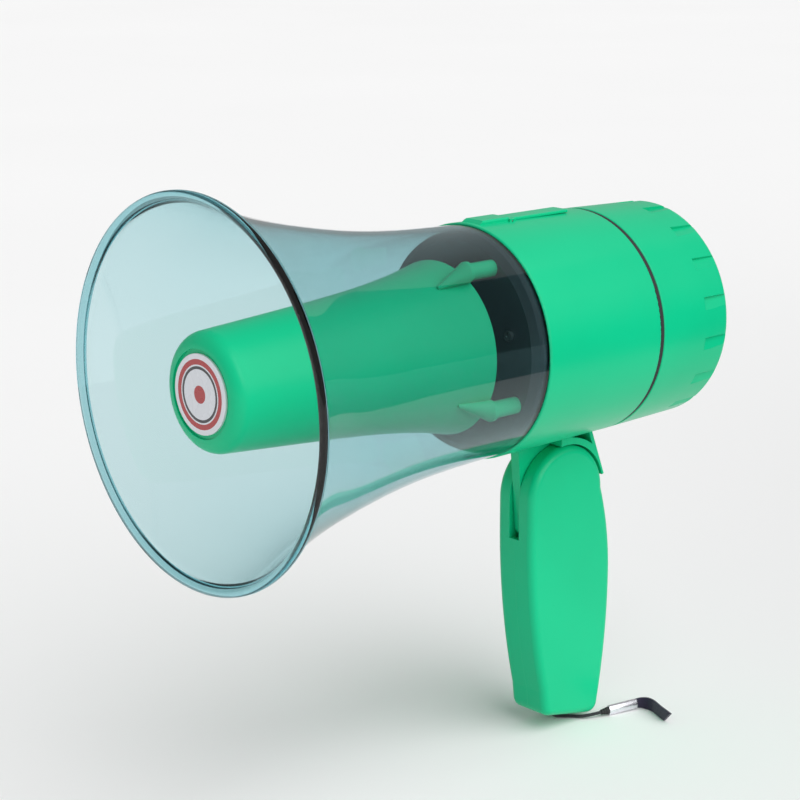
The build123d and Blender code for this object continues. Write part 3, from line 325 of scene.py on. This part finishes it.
def braided(name, colour):
    """A round braided cord's fine crossed strands."""
    finish = Finish(name, Roughness=0.7, Sheen_Weight=0.3, Specular_IOR_Level=0.3)
    strands = finish.noise(1500, 2.0, stretch=(1, 1, 1.6))
    wear = finish.noise(120, 3.0)
    finish.give("Base Color", finish.mixed(finish.ranged(wear, 0.35, 0.7, 0, 1), shade(colour, 0.8),
                                           shade(colour, 1.5)))
    finish.give("Roughness", finish.ranged(strands, 0.3, 0.7, 0.5, 0.85))
    finish.give("Normal", finish.bump(strands, THREAD_RELIEF))
    return finish


GREEN = (0.003, 0.53, 0.245)
DARK = (0.018, 0.026, 0.032)


def make_finishes():
    made = {
        "green_plastic": moulded("green_plastic", GREEN, 0.3, gloss=0.24),
        "clear_shell": clear_plastic(),
        "dark_plastic": moulded("dark_plastic", DARK, 0.36, edge_highlight_lift=1.8),
        "white_plastic": moulded("white_plastic", (0.78, 0.78, 0.76), 0.42),
        "badge": badge_print(),
        "rubber_black": moulded("rubber_black", (0.02, 0.02, 0.022), 0.72, grain=0.04 * MM, grain_scale=1300),
        "steel": metal("steel", (0.56, 0.57, 0.58), 0.32),
        "chrome_crimp": metal("chrome_crimp", (0.86, 0.85, 0.9), 0.24, brush=(0.2, 0.05, 1), brushed=900),
        "cord_black": braided("cord_black", (0.022, 0.022, 0.028)),
        "webbing": woven("webbing", (0.032, 0.026, 0.055)),
        "diaphragm_film": moulded("diaphragm_film", (0.2, 0.13, 0.06), 0.3),
        "copper": metal("copper", (0.75, 0.36, 0.2), 0.3, brush=(1, 0.02, 1), brushed=1500),
        "ferrite": moulded("ferrite", (0.06, 0.06, 0.065), 0.7, grain=0.03 * MM),
        "cell_sleeve": moulded("cell_sleeve", (0.03, 0.16, 0.42), 0.3),
        "can": metal("can", (0.7, 0.71, 0.73), 0.24),
        "board_green": moulded("board_green", (0.02, 0.16, 0.06), 0.4),
        "heat_sink_metal": metal("heat_sink_metal", (0.6, 0.61, 0.63), 0.36),
        "led_red": moulded("led_red", (0.55, 0.01, 0.012), 0.16, grain=0.0),
        "knob_black": moulded("knob_black", (0.03, 0.032, 0.034), 0.4, edge_highlight_lift=1.7),
        "button_green": moulded("button_green", (0.01, 0.4, 0.16), 0.4),
        "button_red": moulded("button_red", (0.5, 0.02, 0.02), 0.38),
    }
    return {name: finish.material for name, finish in made.items()}


finishes = make_finishes()


def paint_nodes():
    """Give each CAD node the finish of its material slot."""
    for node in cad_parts.values():
        for held in node.material_slots:
            held.material = finishes[held.material.name.split(".")[0]]


paint_nodes()


# ================= strap =================
CORD_ROUTE = [(0.0, -1.0, -80.2), (0.0, -1.0, -83.0), (0.5, 2.2, -85.4), (2.2, 6.4, -86.0),
              (5.6, 10.2, -86.0), (9.8, 12.6, -85.7), (13.4, 15.6, -84.9), (15.4, 19.8, -84.4),
              (16.5, 24.2, -84.2)]
CORD_RADIUS = 1.0 * MM
COLLAR = 5.5 * MM
FERRULE = 20 * MM
WEBBING_WIDE = 7.5 * MM
WEBBING_CUT = 8 * MM                # how much longer its upper edge is
SLOT_HIGH = 5.3 * MM                # the ferrule's opening
WEBBING_THICK = 1.5 * MM
WEBBING_TURN = [(1.3, 3.0), (5.6, 5.0), (14.5, 2.6), (27.5, -2.6)]     # in mm past the ferrule's end
WEBBING_ROWS = 18
COLLAR_SIDES = 40
# (share of the length, radius in mm) along the ribbed collar, and (share, scale) along the ferrule
COLLAR_RIBS = [(0.0, 1.15), (0.04, 1.5), (0.2, 1.6), (0.24, 1.45), (0.3, 1.45), (0.34, 1.75), (0.5, 1.85),
               (0.54, 1.7), (0.6, 1.7), (0.64, 2.0), (0.92, 2.25), (1.0, 2.2)]
FERRULE_SHAPE = [(0.0, 0.86), (0.0, 0.94), (0.012, 0.985), (0.035, 1.0), (0.5, 1.0), (0.965, 1.0),
                 (0.988, 0.985), (1.0, 0.94), (1.0, 0.86), (0.94, 0.82)]


def add_cord():
    points = [Vector(point) * MM for point in CORD_ROUTE]
    curve = bpy.data.curves.new("wrist_cord", "CURVE")
    curve.dimensions = "3D"
    line = curve.splines.new("NURBS")
    line.points.add(len(points) - 1)
    for held, point in zip(line.points, points):
        held.co = (*point, 1)
    line.order_u = 3
    line.use_endpoint_u = True
    line.resolution_u = 12
    curve.bevel_depth = CORD_RADIUS
    curve.bevel_resolution = 6
    cord = placed("wrist_cord", curve)
    curve.materials.append(finishes["cord_black"])
    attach(cord, "handle")
    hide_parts("strap_cord")
    return cord


def strap_frame():
    """The cord's end, its way there, and the sideways and upward directions across it."""
    end = Vector(CORD_ROUTE[-1]) * MM
    way = (Vector(CORD_ROUTE[-1]) - Vector(CORD_ROUTE[-2])).normalized()
    aside = Vector((0, 0, 1)).cross(way).normalized()
    return end, way, aside, way.cross(aside)


def section_loop(place, corners, scale=1.0):
    _, _, aside, up = strap_frame()
    return [place + (aside * across + up * high) * scale for across, high in corners]


def eased(corners, ease):
    """A polygon's corners, each cut by a short curve of three points."""
    loop = []
    for i, here in enumerate(corners):
        here = Vector(here)
        before = (Vector(corners[i - 1]) - here).normalized() * ease
        after = (Vector(corners[(i + 1) % len(corners)]) - here).normalized() * ease
        loop += [here + before, here + (before + after) * 0.25, here + after]
    return loop


def add_collar():
    end, way, _, _ = strap_frame()
    angles = [2 * pi * i / COLLAR_SIDES for i in range(COLLAR_SIDES)]
    loops = []
    for share, radius in COLLAR_RIBS:
        circle = [(radius * MM * cos(angle), radius * MM * sin(angle)) for angle in angles]
        loops.append(section_loop(end + way * COLLAR * share, circle))
    collar = skin("cord_collar_ribbed", loops, "rubber_black", "handle")
    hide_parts("cord_collar")
    return collar


def add_ferrule():
    """A folded metal crimp, its two sides each in two flats, open where the webbing goes in."""
    end, way, _, _ = strap_frame()
    start = end + way * COLLAR
    half_high = 2.8 * MM
    half_thick = 2.1 * MM
    flat = 1.25 * MM
    corners = [(half_thick, 0), (flat, half_high), (-flat, half_high),
               (-half_thick, 0), (-flat, -half_high), (flat, -half_high)]
    outline = eased(corners, 0.45 * MM)
    loops = [section_loop(start + way * FERRULE * share, outline, scale) for share, scale in FERRULE_SHAPE]
    ferrule = skin("crimp_ferrule", loops, "chrome_crimp", "handle", sharp=20)
    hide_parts("strap_ferrule")
    return ferrule


def add_webbing():
    end, way, _, _ = strap_frame()
    start = end + way * (COLLAR + FERRULE - 1.5 * MM)
    mouth = end + way * (COLLAR + FERRULE)
    route = [(start.x, start.y)]
    route += [(mouth.x + right * MM, mouth.y + back * MM) for right, back in WEBBING_TURN]
    line = smooth_curve(route, CURVE_STEPS)
    foot = TABLE + 0.1 * MM
    half = WEBBING_THICK / 2
    loops = []
    places = []
    gone = 0.0
    for i, (x, y) in enumerate(line):
        before = Vector(line[max(i - 1, 0)])
        after = Vector(line[min(i + 1, len(line) - 1)])
        run = (after - before).normalized()
        aside = Vector((-run.y, run.x))
        if i:
            gone += (Vector(line[i]) - Vector(line[i - 1])).length
        wide = min(WEBBING_WIDE, SLOT_HIGH + gone * 0.25)
        loop = []
        for face in (1, -1):
            for row in range(WEBBING_ROWS + 1):
                share = row / WEBBING_ROWS if face == 1 else 1 - row / WEBBING_ROWS
                high = foot + (WEBBING_WIDE - wide) * 0.55 + wide * share
                thin = half * (1 - 0.35 * abs(2 * share - 1) ** 8)
                slant = (0.5 - share) * WEBBING_CUT * max(0.0, 2 * i / (len(line) - 1) - 1)
                loop.append(Vector((x - run.x * slant + aside.x * thin * face,
                                    y - run.y * slant + aside.y * thin * face, high)))
                places.append((gone, share * WEBBING_WIDE, face * half))
        loops.append(loop)
    webbing = skin("webbing_strap", loops, "webbing", "handle", sharp=60)
    weave = webbing.data.attributes.new("weave", "FLOAT_VECTOR", "POINT")
    for held, place in zip(weave.data, places):
        held.vector = place
    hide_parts("strap_webbing")
    return webbing


def add_strap():
    cord = add_cord()
    pieces = [add_collar(), add_ferrule(), add_webbing()]


add_strap()


# ================= bell =================
BELL_DEPTH = 188 * MM
THROAT_RADIUS = 64.8 * MM
FLARE = 35.45 * MM
FLARE_POINTS = [(0.0, 1.0), (0.065, 0.862), (0.163, 0.663), (0.272, 0.489), (0.408, 0.323), (0.571, 0.166),
                (0.761, 0.056), (1.0, 0.0)]
WALL = 2.2 * MM
MOUTH_RADIUS = 102.5 * MM
BEAD_DEEP = 4.6 * MM
BEAD_ROUND = 1.9 * MM
BEAD_WIDE = 4.5 * MM
BEAD_STEP = 0.3 * MM                # the bead stands this far out of the wall behind it
COLLAR_REAR = 196 * MM
COLLAR_OUTER = 63.2 * MM
COLLAR_INNER = 60.8 * MM


def add_bell():
    """The flared clear shell with its rolled mouth bead and the collar that the housing takes."""
    points = [(depth * BELL_DEPTH, THROAT_RADIUS + FLARE * rise) for depth, rise in FLARE_POINTS]
    flare = smooth_curve(points, CURVE_STEPS)
    outside = [point for point in flare if point[0] > BEAD_DEEP]
    inside = [(depth, radius - WALL) for depth, radius in flare if depth > 2 * BEAD_ROUND]
    bead_back = (BEAD_DEEP, outside[0][1] + BEAD_STEP)
    front_inner = MOUTH_RADIUS - BEAD_WIDE
    outline = outside[::-1]
    outline += [bead_back]
    outline += corner((BEAD_DEEP - BEAD_ROUND, MOUTH_RADIUS - BEAD_ROUND), BEAD_ROUND, 0)
    outline += corner((BEAD_ROUND, MOUTH_RADIUS - BEAD_ROUND), BEAD_ROUND, 90)
    outline += corner((BEAD_ROUND, front_inner + BEAD_ROUND), BEAD_ROUND, 180)
    outline += inside
    outline += [(BELL_DEPTH, COLLAR_INNER), (COLLAR_REAR, COLLAR_INNER), (COLLAR_REAR, COLLAR_OUTER),
                (BELL_DEPTH, COLLAR_OUTER)]
    bell = lathe("bell_clear", outline, "clear_shell", "horn", BELL_TURNS)
    bell.visible_shadow = False
    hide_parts("bell")
    return bell


bell = add_bell()


# ================= surroundings =================
FLOOR_HALF = 15.0
FLAG_NEAR = (0.62, 0.22)
FLAG_FAR = (0.02, 1.5)
FLAG_TOP = 1.1
SUN_TOWARDS = (0.8, 0.22, 0.78)
SUN_STRENGTH = 2.9
SUN_SPREAD = 80                     # in degrees
SKY_STRENGTH = 0.42


def add_card(name, corners, finish):
    """One flat face that belongs to the stage."""
    mesh = bpy.data.meshes.new(name)
    mesh.from_pydata(corners, [], [(0, 1, 2, 3)])
    mesh.materials.append(finish.material)
    card = placed(name, mesh)
    return card


def add_floor():
    paper = Finish("floor_paper", Roughness=0.75, Specular_IOR_Level=0.2)
    paper.give("Base Color", paper.mixed(paper.noise(1.5, 2.0), (0.9, 0.9, 0.9, 1), (0.93, 0.93, 0.93, 1)))
    add_card("floor", [(-FLOOR_HALF, -FLOOR_HALF, TABLE), (FLOOR_HALF, -FLOOR_HALF, TABLE),
                       (FLOOR_HALF, FLOOR_HALF, TABLE), (-FLOOR_HALF, FLOOR_HALF, TABLE)], paper)


def add_flag():
    """A dark card out of sight, which only dims what the object reflects and how its far side is lit."""
    felt = Finish("side_flag", Roughness=0.95, Specular_IOR_Level=0.1)
    felt.give("Base Color", felt.mixed(felt.noise(40, 2.0), (0.012, 0.04, 0.046, 1), (0.018, 0.05, 0.056, 1)))
    flag = add_card("side_flag", [(*FLAG_NEAR, TABLE), (*FLAG_FAR, TABLE), (*FLAG_FAR, FLAG_TOP),
                                  (*FLAG_NEAR, FLAG_TOP)], felt)
    flag.visible_camera = False
    flag.visible_transmission = False
    flag.visible_shadow = False


def add_sun():
    """A wide soft light from one side, even over the whole floor."""
    lamp = bpy.data.lights.new("sky_light", "SUN")
    lamp.energy = SUN_STRENGTH
    lamp.angle = radians(SUN_SPREAD)
    light = placed("sky_light", lamp)
    light.rotation_euler = Vector(SUN_TOWARDS).to_track_quat("Z", "Y").to_euler()
    return light


def spare(light, piece):
    """Leave one glassy piece out of a light, so that it doesn't mirror a hard bright disc."""
    spared = bpy.data.collections.new("spared")
    spared.objects.link(piece)
    light.light_linking.receiver_collection = spared
    spared.collection_objects[0].light_linking.link_state = "EXCLUDE"


def add_surroundings():
    add_floor()
    add_flag()
    spare(add_sun(), bell)
    world = bpy.data.worlds.new("studio")
    world.use_nodes = True
    sky = world.node_tree.nodes["Background"]
    sky.inputs["Color"].default_value = (1, 1, 1, 1)
    sky.inputs["Strength"].default_value = SKY_STRENGTH
    bpy.context.scene.world = world
    bpy.context.scene.view_settings.view_transform = "Standard"


add_surroundings()
